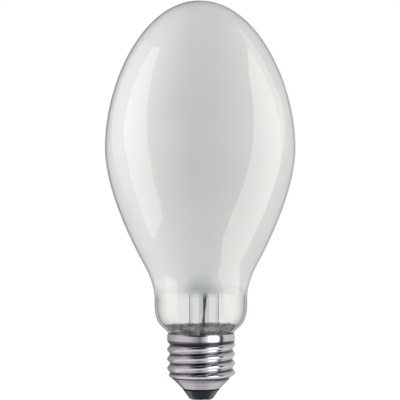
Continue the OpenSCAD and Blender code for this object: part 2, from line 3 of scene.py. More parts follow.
import bpy
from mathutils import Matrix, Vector


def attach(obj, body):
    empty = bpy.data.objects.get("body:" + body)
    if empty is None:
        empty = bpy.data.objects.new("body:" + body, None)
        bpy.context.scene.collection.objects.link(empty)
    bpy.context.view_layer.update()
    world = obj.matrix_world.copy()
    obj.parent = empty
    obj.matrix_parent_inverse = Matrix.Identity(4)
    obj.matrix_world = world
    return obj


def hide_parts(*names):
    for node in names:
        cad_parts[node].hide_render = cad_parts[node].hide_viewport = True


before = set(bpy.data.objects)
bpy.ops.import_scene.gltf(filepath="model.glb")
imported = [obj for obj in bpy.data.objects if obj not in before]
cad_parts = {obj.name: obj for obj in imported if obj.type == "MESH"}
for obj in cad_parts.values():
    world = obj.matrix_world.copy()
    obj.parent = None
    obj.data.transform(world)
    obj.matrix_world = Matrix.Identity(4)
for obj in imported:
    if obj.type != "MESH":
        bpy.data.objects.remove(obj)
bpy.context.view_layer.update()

mm = 0.001
print("frame loaded:", len(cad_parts), "nodes")


# Socket wrapper: Python expressions on these add Math nodes
class Sock:
    def __init__(self, mat, socket):
        self.mat = mat
        self.socket = socket

    def op(self, name, *others, clamp=False):
        return self.mat.add("ShaderNodeMath", {"operation": name, "use_clamp": clamp},
                            dict(enumerate((self,) + others)))

    def __add__(self, other):
        return self.op("ADD", other)

    def __sub__(self, other):
        return self.op("SUBTRACT", other)

    def __rsub__(self, other):
        return self.mat.add("ShaderNodeMath", {"operation": "SUBTRACT"}, {0: other, 1: self})

    def __mul__(self, other):
        return self.op("MULTIPLY", other)

    def __pow__(self, other):
        return self.op("POWER", other)

    def clamped(self):
        return self.op("ADD", 0.0, clamp=True)

    def between(self, low, high):    # soft step from 0 at low to 1 at high
        return self.mat.add("ShaderNodeMapRange", {"interpolation_type": "SMOOTHSTEP"},
                            {"Value": self, "From Min": low, "From Max": high})


class Mat:
    def __init__(self, name, tree=None):
        if tree is None:
            self.material = bpy.data.materials.new(name)
            self.material.use_nodes = True
            tree = self.material.node_tree
        self.tree = tree
        tree.nodes.clear()

    # One node: its settings come first, then values or links for its sockets
    def add(self, kind, settings=None, inputs=None, out=0):
        node = self.tree.nodes.new(kind)
        for key, value in (settings or {}).items():
            if key == "stops":
                self.setStops(node.color_ramp, value)
            else:
                setattr(node, key, value)
        for key, value in (inputs or {}).items():
            self.feed(node.inputs[key], value)
        return Sock(self, node.outputs[out])

    def feed(self, socket, value):
        if isinstance(value, Sock):
            self.tree.links.new(value.socket, socket)
        else:
            socket.default_value = value

    def setStops(self, ramp, stops):
        while len(ramp.elements) < len(stops):
            ramp.elements.new(0.5)
        for element, (place, colour) in zip(ramp.elements, stops):
            element.position = place
            element.color = (*colour, 1)

    def place(self):
        return self.add("ShaderNodeTexCoord", out=3)

    def axis(self, letter):
        return self.add("ShaderNodeSeparateXYZ", inputs={0: self.place()}, out="XYZ".index(letter))

    def noise(self, scale, detail=3.0, rough=0.55, stretch=(1, 1, 1)):
        where = self.add("ShaderNodeVectorMath", {"operation": "MULTIPLY"},
                         {0: self.place(), 1: stretch})
        return self.add("ShaderNodeTexNoise", {"noise_dimensions": "3D"},
                        {"Vector": where, "Scale": scale, "Detail": detail, "Roughness": rough})

    def blend(self, mask, first, second):
        node = self.tree.nodes.new("ShaderNodeMix")
        node.data_type = "RGBA"
        self.feed(node.inputs[0], mask)
        for index, value in ((6, first), (7, second)):
            self.feed(node.inputs[index], value if isinstance(value, Sock) else (*value, 1))
        return Sock(self, node.outputs[2])

    def bump(self, height, strength, distance):
        return self.add("ShaderNodeBump", inputs={"Height": height, "Strength": strength,
                                                  "Distance": distance})

    def principled(self, **values):
        names = {"colour": "Base Color", "rough": "Roughness", "metal": "Metallic",
                 "normal": "Normal", "ior": "IOR", "coat": "Coat Weight",
                 "coatRough": "Coat Roughness", "specular": "Specular IOR Level"}
        inputs = {}
        for key, value in values.items():
            if key == "colour" and not isinstance(value, Sock):
                value = (*value, 1)
            inputs[names[key]] = value
        return self.add("ShaderNodeBsdfPrincipled", inputs=inputs)

    def mixShaders(self, factor, first, second):
        return self.add("ShaderNodeMixShader", inputs={0: factor, 1: first, 2: second})

    def output(self, shader, kind="ShaderNodeOutputMaterial"):
        node = self.tree.nodes.new(kind)
        self.tree.links.new(shader.socket, node.inputs[0])


# Curves and meshes

def curvePoints(a, b, c, d, steps):
    points = []
    for i in range(steps + 1):
        t = i / steps
        s = 1 - t
        points.append(tuple(s**3 * a[k] + 3 * s * s * t * b[k] + 3 * s * t * t * c[k] + t**3 * d[k]
                            for k in range(len(a))))
    return points


def soften(x):
    t = min(max(x, 0), 1)
    return t * t * (3 - 2 * t)


def makeMesh(name, points, faces, smooth=True):
    mesh = bpy.data.meshes.new(name)
    mesh.from_pydata([(x * mm, y * mm, z * mm) for x, y, z in points], [], faces)
    mesh.validate()
    mesh.shade_smooth() if smooth else mesh.shade_flat()
    piece = bpy.data.objects.new(name, mesh)
    bpy.context.scene.collection.objects.link(piece)
    return piece


# Turns a line of (radius, height) about the Z axis; points on the axis become one vertex
def lathe(name, line, segments=128, centre=(0, 0), closed=False):
    points = []
    rows = []
    for radius, height in line:
        if radius < 1e-6:
            rows.append([len(points)] * segments)
            points.append((centre[0], centre[1], height))
        else:
            rows.append(list(range(len(points), len(points) + segments)))
            points += [(centre[0] + radius * cos(2 * pi * k / segments),
                        centre[1] + radius * sin(2 * pi * k / segments), height)
                       for k in range(segments)]
    faces = []
    pairs = list(zip(rows, rows[1:] + ([rows[0]] if closed else [])))
    for low, high in pairs:
        for k in range(segments):
            m = (k + 1) % segments
            corners = [low[k], high[k], high[m], low[m]]
            face = [v for i, v in enumerate(corners) if v != corners[i - 1]]
            if len(face) > 2:
                faces.append(face)
    return makeMesh(name, points, faces)


# A round wire along a path, closed at both ends
def sweep(name, path, radius, sides=20, sideways=(1, 0, 0)):
    sideVector = Vector(sideways)
    points = []
    for i, here in enumerate(path):
        along = (Vector(path[min(i + 1, len(path) - 1)]) - Vector(path[max(i - 1, 0)])).normalized()
        across = (sideVector - sideVector.dot(along) * along).normalized()
        over = along.cross(across)
        for k in range(sides):
            a = 2 * pi * k / sides
            points.append(tuple(Vector(here) + radius * (cos(a) * across + sin(a) * over)))
    faces = [[i * sides + k, i * sides + (k + 1) % sides,
              (i + 1) * sides + (k + 1) % sides, (i + 1) * sides + k]
             for i in range(len(path) - 1) for k in range(sides)]
    faces.append(list(reversed(range(sides))))
    faces.append([(len(path) - 1) * sides + k for k in range(sides)])
    return makeMesh(name, points, faces)


def roundedPath(path, reach, steps=8):
    points = [path[0]]
    for before, here, after in zip(path, path[1:], path[2:]):
        here = Vector(here)
        a = here + (Vector(before) - here).normalized() * reach
        b = here + (Vector(after) - here).normalized() * reach
        for k in range(steps + 1):
            t = k / steps
            points.append(tuple((1 - t)**2 * a + 2 * t * (1 - t) * here + t * t * b))
    points.append(path[-1])
    return points


def dress(piece, material, slotName, *replaced):
    piece.data.materials.append(material)
    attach(piece, "root")
    if replaced:
        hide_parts(*replaced)
    return piece


def dressNode(node, material):
    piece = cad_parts[node]
    piece.data.materials.clear()
    piece.data.materials.append(material)


# The glass outline, radius and height in mm, repeated from the part's own rules

bulb = {
    "length": 156, "radius": 36.9, "bellyHeight": 99, "wall": 0.8,
    "domeRound": 0.603, "domeDrop": 0.434, "bellyPull": 13.75,
    "flank": (23.5, 56.6), "flankAngle": 27.4, "flankPull": 13, "flankExit": 3.2,
    "neckRadius": 17.95, "neckTop": 40.4, "neckBottom": 38.5, "neckPull": 7.1,
    "shoulder": (13.3, 28), "shoulderAngle": 39, "shoulderPull": 8.1, "shoulderExit": 2.5,
    "innerNeckRadius": 10.6, "innerNeckTop": 24.4, "innerNeckPull": 1.6,
    "sealHeight": 14.5, "sealCorner": 1.2, "sealLip": 6,
    "segments": 192,
}
coating = {"thickness": 0.12, "edge": 41.3, "gap": 0.01}


def lean(angle):
    return Vector((-sin(radians(angle)), -cos(radians(angle))))


def glassOutline(steps=26):
    b = bulb
    flank = Vector(b["flank"])
    shoulder = Vector(b["shoulder"])
    radius, belly = b["radius"], b["bellyHeight"]
    down = lean(b["flankAngle"])
    tuck = lean(b["shoulderAngle"])
    neck = b["neckRadius"]
    inner = b["innerNeckRadius"]
    line = curvePoints((0, b["length"]), (radius * b["domeRound"], b["length"]),
                       (radius, belly + (b["length"] - belly) * b["domeDrop"]),
                       (radius, belly), 2 * steps)
    line += curvePoints((radius, belly), (radius, belly - b["bellyPull"]),
                        tuple(flank - down * b["flankPull"]), tuple(flank), steps)[1:]
    line += curvePoints(tuple(flank), tuple(flank + down * b["flankExit"]),
                        (neck, b["neckTop"] + b["neckPull"]), (neck, b["neckTop"]), steps)[1:]
    line += curvePoints((neck, b["neckBottom"]), (neck, b["neckBottom"] - b["shoulderPull"]),
                        tuple(shoulder - tuck * b["shoulderExit"]), tuple(shoulder), steps)
    line += curvePoints(tuple(shoulder), tuple(shoulder + tuck * b["innerNeckPull"]),
                        (inner, b["innerNeckTop"] + b["innerNeckPull"]),
                        (inner, b["innerNeckTop"]), 10)[1:]
    line.append((inner, b["sealHeight"] + b["sealCorner"]))
    return line


def inset(line, distance):
    moved = []
    for i, here in enumerate(line):
        run = Vector(line[min(i + 1, len(line) - 1)]) - Vector(line[max(i - 1, 0)])
        if i == 0:
            run = Vector((1, 0))
        elif i == len(line) - 1:
            run = Vector((0, -1))
        run.normalize()
        moved.append((max(0, here[0] + distance * run[1]), here[1] - distance * run[0]))
    return moved


def buildBulb(outerMaterial, insideMaterial):
    outside = glassOutline()
    b = bulb
    corner = [(b["innerNeckRadius"] - b["sealCorner"] * (1 - cos(radians(a))),
               b["sealHeight"] + b["sealCorner"] * (1 - sin(radians(a))))
              for a in (18, 36, 54, 72, 90)]
    lip = [(b["sealLip"], b["sealHeight"]), (b["sealLip"], b["sealHeight"] + b["wall"]),
           (b["innerNeckRadius"] - b["wall"], b["sealHeight"] + b["wall"])]
    inside = list(reversed(inset(outside, b["wall"])))
    line = outside + corner + lip + inside
    piece = lathe("bulb_glass", line, b["segments"])
    dress(piece, outerMaterial, "bulb_glass", "outer_bulb")
    piece.data.materials.append(insideMaterial)
    rings = [row for row, point in enumerate(line) for v in
             range(1 if point[0] < 1e-6 else b["segments"])]
    first = len(outside) + len(corner)    # rows past the lip belong to the inside
    for face in piece.data.polygons:
        face.material_index = 1 if min(rings[v] for v in face.vertices) >= first else 0
    return piece


def buildCoating(material):
    wall = bulb["wall"] + coating["gap"]
    bottom = coating["edge"] - 0.01

    def cut(line):
        kept = [p for p in line if p[1] > bottom]
        last, after = kept[-1], line[len(kept)]
        share = (last[1] - bottom) / (last[1] - after[1])
        return kept + [(last[0] + share * (after[0] - last[0]), bottom)]

    outside = cut(inset(glassOutline(), wall))
    inside = cut(inset(glassOutline(), wall + coating["thickness"] - 2 * coating["gap"]))
    piece = lathe("white_coat", outside + list(reversed(inside)), bulb["segments"])
    return dress(piece, material, "white_coating", "diffusing_coating")


# Cap shell: skirt, rolled right-hand thread and lower cone, all in mm
cap = {
    "height": 27, "sheet": 0.25, "threadSheet": 1.2,
    "skirtRadius": 12.9, "skirtDepth": 3.3, "bulge": 0.22, "bulgePower": 2.5,
    "crest": 13.2, "groove": 12.15, "pitch": 3.629, "firstCrest": 20.83,
    "fadeIn": 0.6, "fadeOut": 3.6, "fadeReach": 3.2,
    "creaseHeight": 9.8, "creaseDepth": 0.36, "creaseWidth": 0.26,
    "edgeRadius": 7.45, "edgeHeight": 5.7, "coneAngle": 44.5, "cornerBlend": 0.35,
    "rimRound": 0.13, "rimDraw": 0.9, "notchDepth": 1.35, "notchAngle": 14, "notchAt": 90,
    "segments": 240, "rowStep": 0.13,
}
threadTop = cap["height"] - cap["skirtDepth"]
threadMiddle = (cap["crest"] + cap["groove"]) / 2
coneSlope = tan(radians(cap["coneAngle"]))
coneTop = cap["edgeHeight"] + (threadMiddle - cap["edgeRadius"]) / coneSlope


def plainRadius(z):
    c = cap
    depth = (c["height"] - z) / c["skirtDepth"]
    skirt = c["skirtRadius"] + c["bulge"] * max(0, 1 - abs(2 * depth - 1)**c["bulgePower"])
    body = threadMiddle + (skirt - threadMiddle) * (1 - soften((threadTop - z) / c["fadeIn"]))
    cone = c["edgeRadius"] + (z - c["edgeHeight"]) * coneSlope
    cone -= c["creaseDepth"] * exp(-((z - c["creaseHeight"]) / c["creaseWidth"])**2)
    blend = c["cornerBlend"]           # rounds the corner between thread and cone
    h = min(max(0.5 + 0.5 * (cone - body) / blend, 0), 1)
    return cone + (body - cone) * h - blend * h * (1 - h) * 0.5


def shellRadius(z, angle):
    c = cap
    fade = soften((threadTop - z) / c["fadeIn"])
    fade *= soften((z - coneTop + c["fadeReach"]) / c["fadeOut"])
    wave = cos(2 * pi * (z - c["firstCrest"]) / c["pitch"] - radians(angle - 180))
    return plainRadius(z) + (c["crest"] - c["groove"]) / 2 * fade * wave


def buildShell(material):
    c = cap
    top = c["height"] - c["rimRound"]
    rows = int((top - c["edgeHeight"]) / c["rowStep"])
    heights = [c["height"] - c["rimRound"] * (1 - cos(radians(a))) for a in (0, 20, 40, 60, 75)]
    heights += [top - (top - c["edgeHeight"]) * i / rows for i in range(rows + 1)]
    n = c["segments"]
    points = []
    layers = [(z, 0) for z in heights] + [(z, 1) for z in reversed(heights[::2])]
    for z, layer in layers:
        thickness = c["sheet"]
        if z < coneTop:
            thickness /= cos(radians(c["coneAngle"]))
        elif z < threadTop:
            thickness *= c["threadSheet"]
        share = max(0, (z - threadTop) / c["skirtDepth"])
        for k in range(n):
            a = 360 * k / n
            dip = c["notchDepth"] * soften(1 - abs(a - c["notchAt"]) / c["notchAngle"])
            height = z - dip * share
            edge = max(0, z - top) / c["rimRound"]
            r = shellRadius(height, a) - layer * thickness
            r += (2 * layer - 1) * c["rimRound"] * (1 - (1 - edge**2)**0.5) * c["rimDraw"]
            points.append((r * cos(radians(a)), r * sin(radians(a)), height))
    faces = []
    count = len(layers)
    for i in range(count):
        j = (i + 1) % count
        for k in range(n):
            m = (k + 1) % n
            faces.append([i * n + k, j * n + k, j * n + m, i * n + m])
    piece = makeMesh("screw_shell", points, faces)
    return dress(piece, material, "nickel_shell", "cap_shell")


# Black glass insulator, contact plate and the solder on it
foot = {
    "bottom": 1.7, "radius": 4.9, "round": 0.7, "top": 8.1, "bore": 1.53, "gap": 0.1,
    "lipDrop": 0.15, "lipRound": 0.25,
    "contactRadius": 4.1, "contactThickness": 0.5,
    "eyelet": 1.5, "eyeletWall": 0.3, "eyeletDepth": 2.6,
    "solderRadius": 2.5, "flat": 1.3,
}


def buildInsulator(material):
    f = foot
    edge = cap["edgeHeight"]
    clearance = cap["sheet"] / cos(radians(cap["coneAngle"])) + f["gap"]
    lip = Vector((cap["edgeRadius"] - f["gap"], edge - f["lipDrop"]))
    low = Vector((f["radius"], f["bottom"] + f["round"] / 2))
    slant = (lip - low).normalized()
    line = [(f["bore"], f["bottom"])]
    line += curvePoints((f["radius"] - f["round"], f["bottom"]),
                        (f["radius"] - f["round"] / 3, f["bottom"]),
                        tuple(low - slant * f["round"] / 2),
                        tuple(low + slant * f["round"] / 3), 10)
    line += [tuple(lip - slant * f["lipRound"]), tuple(lip), (cap["edgeRadius"] - clearance, edge),
             (cap["edgeRadius"] - clearance + (f["top"] - edge) * coneSlope, f["top"]),
             (f["bore"], f["top"])]
    piece = lathe("black_glass", line, 128, closed=True)
    return dress(piece, material, "black_glass", "cap_insulator")


def buildContact(material):
    f = foot
    low = f["bottom"] - f["contactThickness"]
    inner = f["eyelet"] - f["eyeletWall"]
    deep = f["bottom"] + f["eyeletDepth"]
    line = [(inner, low)]
    line += curvePoints((f["contactRadius"] - 0.8, low), (f["contactRadius"] - 0.25, low),
                        (f["contactRadius"], low + 0.12), (f["contactRadius"], f["bottom"]), 8)
    line += [(f["eyelet"], f["bottom"]), (f["eyelet"], deep), (inner, deep)]
    piece = lathe("contact_plate", line, 96, closed=True)
    return dress(piece, material, "contact_plate", "centre_contact")


def buildSolder(material):
    f = foot
    low = f["bottom"] - f["contactThickness"]
    line = [(0, 0), (f["flat"], 0)]
    line += curvePoints((f["flat"], 0), (f["flat"] + 0.7, 0.03),
                        (f["solderRadius"] - 0.1, low * 0.45), (f["solderRadius"], low), 10)[1:]
    line += [(0, low)]
    piece = lathe("contact_drop", line, 72)
    return dress(piece, material, "solder", "contact_solder")


# Glass stem: flare, tube and flattened press, lofted from round to flat
stem = {
    "offset": 1.2, "radius": 5.75, "wall": 1.0, "foot": 15.3, "flareRadius": 8.4, "flareTop": 25,
    "pressBottom": 43, "pressTop": 52, "pressThickness": 4.6, "ceiling": 44.2,
    "pressLead": 1.5, "pressRun": 5.5, "steps": 12, "flareSteps": 14,
    "tubeRadius": 1.75, "tubeBore": 1.05, "tubeEnd": 12.5, "segments": 96,
}


def buildStem(material, insideMaterial):
    s = stem
    n = s["segments"]
    half = s["pressThickness"] / 2
    bore = s["radius"] - s["wall"]
    flareBore = s["flareRadius"] - s["wall"]
    pressFrom = s["pressBottom"] - s["pressLead"]

    def ring(halfX, halfY, height):
        return [(s["offset"] + halfX * cos(2 * pi * k / n), halfY * sin(2 * pi * k / n), height)
                for k in range(n)]

    rings = []
    for r, z in curvePoints((s["flareRadius"], s["foot"]), (s["flareRadius"] - 1.2, s["foot"] + 3),
                            (s["radius"], s["flareTop"] - 4), (s["radius"], s["flareTop"]),
                            s["flareSteps"]):
        rings.append(ring(r, r, z))
    for i in range(1, s["steps"] + 1):
        rings.append(ring(s["radius"], s["radius"],
                          s["flareTop"] + (pressFrom - s["flareTop"]) * i / s["steps"]))
    for i in range(1, s["steps"] + 1):
        t = i / s["steps"]
        narrow = s["radius"] + (half - s["radius"]) * soften(t)
        rings.append(ring(narrow, s["radius"], pressFrom + s["pressRun"] * t))
    top = s["pressTop"]
    rings.append(ring(half, s["radius"], top - 0.8))
    rings.append(ring(half - 0.25, s["radius"] - 0.25, top - 0.2))
    rings.append(ring(half - 0.8, s["radius"] - 0.8, top))
    outerCount = len(rings)
    inside = curvePoints((flareBore, s["foot"]), (flareBore - 1.2, s["foot"] + 3),
                         (bore, s["flareTop"] - 4), (bore, s["flareTop"]), s["flareSteps"])
    inside += curvePoints((bore, s["pressBottom"] - 2.5), (bore, s["pressBottom"] - 0.8),
                          (s["tubeRadius"] + 1.6, s["ceiling"]),
                          (s["tubeRadius"] + 0.4, s["ceiling"]), 8)
    rings += [ring(r, r, z) for r, z in inside]
    points = [p for one in rings for p in one]
    faces = []
    for i in range(len(rings) - 1):
        if i == outerCount - 1:        # the press's top and the inside aren't joined
            continue
        flip = i >= outerCount
        for k in range(n):
            m = (k + 1) % n
            face = [i * n + k, i * n + m, (i + 1) * n + m, (i + 1) * n + k]
            faces.append(face[::-1] if flip else face)
    faces.append([(outerCount - 1) * n + k for k in range(n)])
    faces.append([(len(rings) - 1) * n + k for k in reversed(range(n))])
    for k in range(n):                 # rim of the flare
        m = (k + 1) % n
        faces.append([k, outerCount * n + k, outerCount * n + m, m])
    piece = makeMesh("glass_stem", points, faces)
    dress(piece, material, "stem_glass", "stem")
    piece.data.materials.append(insideMaterial)
    for face in piece.data.polygons:
        face.material_index = 1 if min(face.vertices) >= outerCount * n else 0
    return piece


def buildExhaust(material):
    s = stem
    line = [(s["tubeBore"], s["ceiling"]), (s["tubeRadius"], s["ceiling"]), (s["tubeRadius"], 30),
            (s["tubeRadius"], s["tubeEnd"])]
    line += curvePoints((s["tubeRadius"], s["tubeEnd"]), (s["tubeRadius"], s["tubeEnd"] - 1.2),
                        (0.8, s["tubeEnd"] - 2.2), (0, s["tubeEnd"] - 3), 8)[1:]
    line += curvePoints((0, s["tubeEnd"] - 1), (0.5, s["tubeEnd"] - 1),
                        (s["tubeBore"], s["tubeEnd"] - 0.4), (s["tubeBore"], s["tubeEnd"] + 0.6), 5)
    line += [(s["tubeBore"], 30)]
    piece = lathe("exhaust_pipe", line, 48, centre=(s["offset"], 0), closed=True)
    return dress(piece, material, "exhaust_glass", "exhaust_tube")


# Lead-in wire to the contact, with the corners of its solid
wires = {"radius": 0.35, "spacing": 3.3, "skew": 0.9, "top": 66.2, "bend": 0.6}


def buildLead(material):
    w = wires
    x = stem["offset"]
    contactPath = roundedPath([
        (x + w["skew"], -w["spacing"], w["top"]),
        (x + w["skew"], -w["spacing"], stem["pressBottom"] - 0.6),
        (x - w["skew"], -w["spacing"], stem["pressBottom"] - 16),
        (0, -w["spacing"] + 0.3, bulb["sealHeight"] - 0.5),
        (0, 0, foot["top"] + 0.8),
        (0, 0, foot["bottom"] - foot["contactThickness"]),
    ], w["bend"])
    dress(sweep("contact_wire", contactPath, w["radius"]), material, "lead_wire", "contact_lead")


# Materials

# Clear glass without bending: a mirror share by angle, and a tint that deepens at the limb. Where
# "upper" is given, the glass above those heights has that tint and mirror share instead
upperHeights = (0.0405, 0.0445)
glasses = {
    "bulbGlass": {
        "tint": (0.945, 0.948, 0.94), "edgeTint": (0.3, 0.3, 0.3), "edgePower": 4, "haze": 0.01,
        "share": 0.4, "upper": {"tint": (0.985, 0.985, 0.98), "edgeTint": (0.7, 0.7, 0.7),
                                "edgePower": 2, "share": 1.0},
    },
    "bulbGlassInside": {
        "tint": (0.925, 0.93, 0.92), "edgeTint": (0.45, 0.46, 0.46), "edgePower": 5, "haze": 0.01,
        "share": 0.25, "upper": {"tint": (1, 1, 1), "edgeTint": (1, 1, 1), "edgePower": 5,
                                 "share": 0.1},
        "filmed": True,
    },
    "stemGlass": {"tint": (0.998, 1.0, 1.0), "edgeTint": (0.05, 0.05, 0.05), "edgePower": 4,
                  "haze": 0.02, "share": 0.7},
    "stemGlassInside": {"tint": (0.995, 0.997, 0.997), "edgeTint": (0.9, 0.9, 0.9), "edgePower": 5,
                        "haze": 0.02, "share": 0.3},
    "exhaustGlass": {"tint": (0.96, 0.965, 0.965), "edgeTint": (0.2, 0.2, 0.2), "edgePower": 4,
                     "haze": 0.02, "share": 0.6},
}


def clearGlass(name, tint, edgeTint, edgePower, haze, share, upper=None, filmed=False):
    m = Mat(name)
    fog = m.noise(55, 2)
    facing = m.add("ShaderNodeLayerWeight", inputs={"Blend": 0.5}, out=1)

    def clear(colour):
        return m.add("ShaderNodeBsdfTransparent", inputs={"Color": (*colour, 1)})

    base = m.mixShaders(facing**edgePower, clear(tint), clear(edgeTint))
    mirror = (facing**5) * 0.96 + 0.04
    if upper:
        above = m.axis("Z").between(*upperHeights)
        base = m.mixShaders(above, base, m.mixShaders(facing**upper["edgePower"],
                                                      clear(upper["tint"]),
                                                      clear(upper["edgeTint"])))
        mirror = mirror * (above * (upper["share"] - share) + share)
    else:
        mirror = mirror * share
    if filmed:
        base = m.mixShaders(filmMask(m), base, filmBody(m))
    shine = m.principled(colour=(0.97, 0.98, 0.98), metal=1.0,
                         rough=fog.between(0.3, 0.8) * haze + 0.015)
    m.output(m.mixShaders(mirror.clamped(), base, shine))
    return m.material


# Dark film that the getter leaves on the inside of the glass just above the cap
film = {
    "topEdge": (0.0318, 0.0308), "bottomEdge": (0.0287, 0.0295), "cover": 0.94,
    "waves": ((170, 4, 0.0016), (600, 3, 0.0008)),
    "dark": (0.05, 0.048, 0.044), "grey": (0.38, 0.375, 0.365), "fleck": (0.46, 0.45, 0.41),
}


def filmMask(m):
    height = m.axis("Z")
    for scale, detail, size in film["waves"]:
        height = height + m.noise(scale, detail) * size
    return height.between(*film["topEdge"]) * height.between(*film["bottomEdge"]) * film["cover"]


def filmBody(m):
    blot = m.noise(210, 5, 0.65)
    fleck = m.noise(900, 3, 0.7)
    low = m.blend(blot.between(0.38, 0.62), film["dark"], film["grey"])
    tone = m.blend(fleck.between(0.45, 0.8) * 0.5, low, film["fleck"])
    return m.principled(colour=tone, rough=0.5, metal=0.3)


# White powder: greyer low down where it faces the eye, a painted shade for the dim inside seen
# through the thinning powder; open along its lower edge
powder = {
    "pale": (0.86, 0.865, 0.86), "bright": (0.88, 0.88, 0.875), "lowShade": (0.58, 0.62, 0.64),
    "lowShadeHeights": (0.066, 0.043), "lowShadeFacing": (0.13, 0.025), "edgeHeights": (0.0408, 0.0475),
    "edgeWave": 0.0008, "cover": 0.97, "through": 0.2, "throughColour": (0.85, 0.86, 0.86),
}


def coatingMaterial():
    m = Mat("whitePowder")
    p = powder
    height = m.axis("Z")
    cloud = m.noise(30, 4)
    grain = m.noise(900, 3)
    full = m.blend(cloud.between(0.35, 0.7), p["pale"], p["bright"])
    facing = m.add("ShaderNodeLayerWeight", inputs={"Blend": 0.5}, out=1)
    # painted shade: the powder turns grey low down where it faces the eye
    lowShade = height.between(*p["lowShadeHeights"]) * facing.between(*p["lowShadeFacing"])
    colour = m.blend(lowShade, full, p["lowShade"])
    cover = (height + m.noise(160, 3) * p["edgeWave"]).between(*p["edgeHeights"])
    grains = m.principled(colour=colour, rough=0.75, specular=0.2,
                          normal=m.bump(grain, 0.15, 0.0002))
    through = m.add("ShaderNodeBsdfTranslucent", inputs={"Color": (*p["throughColour"], 1)})
    body = m.mixShaders(p["through"], grains, through)
    clear = m.add("ShaderNodeBsdfTransparent", inputs={"Color": (1, 1, 1, 1)})
    m.output(m.mixShaders(cover * p["cover"], clear, body))
    return m.material


# Metals: colour, roughness and its spread, depth of the fine bumps in metres, noise scale
metals = {
    "contactNickel": ((0.78, 0.765, 0.8), 0.2, 0.08, 0.00003, 400),
    "solderMetal": ((0.72, 0.72, 0.75), 0.3, 0.12, 0.00006, 700),
    "oxidisedLead": ((0.22, 0.2, 0.19), 0.45, 0.2, 0.00003, 600),
    "nickelWire": ((0.6, 0.59, 0.57), 0.3, 0.1, 0.00002, 500),
    "strapNickel": ((0.66, 0.65, 0.62), 0.28, 0.1, 0.00002, 500),
    "getterSteel": ((0.42, 0.42, 0.42), 0.45, 0.15, 0.00004, 500),
    "niobium": ((0.5, 0.51, 0.54), 0.35, 0.1, 0.00002, 500),
    "tungsten": ((0.33, 0.33, 0.35), 0.4, 0.12, 0.00002, 800),
    "amalgam": ((0.75, 0.76, 0.78), 0.12, 0.08, 0.00002, 600),
}
metalShade = 0.85    # how dark the clouds on a metal get, as a share of its colour


def metalMaterial(name, colour, rough, spread, bumpSize, scale):
    m = Mat(name)
    cloud = m.noise(scale, 4)
    tone = m.blend(cloud.between(0.3, 0.75), colour, tuple(c * metalShade for c in colour))
    m.output(m.principled(colour=tone, metal=1.0, rough=cloud * spread + (rough - spread / 2),
                          normal=m.bump(m.noise(scale * 7, 3), 0.3, bumpSize)))
    return m.material


# Ceramics and cement: colour, roughness, shade of the clouds, depth of the bumps, noise scale
ceramics = {
    "alumina": ((0.9, 0.89, 0.86), 0.35, 0.9, 0.00005, 300),
    "aluminaPlug": ((0.86, 0.85, 0.81), 0.45, 0.9, 0.00005, 300),
    "sealGlass": ((0.8, 0.77, 0.68), 0.25, 0.9, 0.00005, 300),
    "cement": ((0.62, 0.6, 0.57), 0.85, 0.6, 0.0004, 420),
}


def ceramicMaterial(name, colour, rough, shade, bumpSize, scale):
    m = Mat(name)
    cloud = m.noise(scale, 4)
    tone = m.blend(cloud.between(0.3, 0.7), colour, tuple(c * shade for c in colour))
    m.output(m.principled(colour=tone, rough=cloud * 0.1 + (rough - 0.05),
                          normal=m.bump(m.noise(scale * 4, 3), 0.4, bumpSize)))
    return m.material


# Cap nickel: bright, with painted shade in the thread's grooves, on the down-facing cone, and along
# three lines at the crease, a dent on the cone and the skirt's lower edge. Each line is its height,
# its half width and how dark it gets
nickelToneAndShade = {
    "bright": (0.82, 0.805, 0.835), "dull": (0.76, 0.74, 0.775), "cone": (0.57, 0.56, 0.585),
    "coneShadeHeights": (0.0100, 0.0096), "paintedShade": (0.08, 0.08, 0.08),
    "groove": (0.35, 0.95), "lead": 0.35,
    "threadStart": (0.0084, 0.0100), "threadEnd": (0.0238, 0.0243),
    "shadeLines": ((0.0099, 0.0006, 1.0), (0.00875, 0.0004, 0.3), (0.02375, 0.0009, 0.85)),
}


def nickelMaterial():
    m = Mat("capNickel")
    c = cap
    place = m.add("ShaderNodeSeparateXYZ", inputs={0: m.place()})
    x, y, z = (Sock(m, place.socket.node.outputs[k]) for k in range(3))
    angle = m.add("ShaderNodeMath", {"operation": "ARCTAN2"}, {0: y, 1: x})
    turn = (z - (c["firstCrest"] * mm)) * (2 * pi / (c["pitch"] * mm)) - angle + (pi + nickelToneAndShade["lead"])
    wave = turn.op("COSINE") * -1    # 1 in a groove, -1 on a crest
    inThread = z.between(*nickelToneAndShade["threadStart"]) * (1 - z.between(*nickelToneAndShade["threadEnd"]))
    cloud = m.noise(320, 4)
    # painted shade in the thread's grooves, mottled by noise
    paintedShade = wave.between(*nickelToneAndShade["groove"]) * inThread * (cloud * 0.5 + 0.65)
    # painted shade along the three lines
    for height, half, strength in nickelToneAndShade["shadeLines"]:
        paintedShade = paintedShade + (z - height).op("ABSOLUTE").between(half, half * 0.4) * strength
    paintedShade = paintedShade.clamped()
    baseTone = m.blend(m.noise(90, 3).between(0.3, 0.7), nickelToneAndShade["bright"], nickelToneAndShade["dull"])
    # painted shade: a darker tone on the down-facing cone
    baseTone = m.blend(z.between(*nickelToneAndShade["coneShadeHeights"]), baseTone, nickelToneAndShade["cone"])
    tone = m.blend(paintedShade, baseTone, nickelToneAndShade["paintedShade"])
    m.output(m.principled(colour=tone, metal=1.0, rough=cloud * 0.05 + 0.07 + paintedShade * 0.1,
                          normal=m.bump(m.noise(1800, 3), 0.25, 0.00003)))
    return m.material


# Black glass, with a painted shadow: a dull dark band under the cap's edge
blackLook = {
    "deep": (0.003, 0.009, 0.009), "pale": (0.007, 0.014, 0.013), "coatFacing": (0.3, 0.5),
    "edgeShadow": (0.003, 0.003, 0.003), "edgeShadowHeights": (0.0050, 0.0053), "edgeShadowCover": 0.95,
}


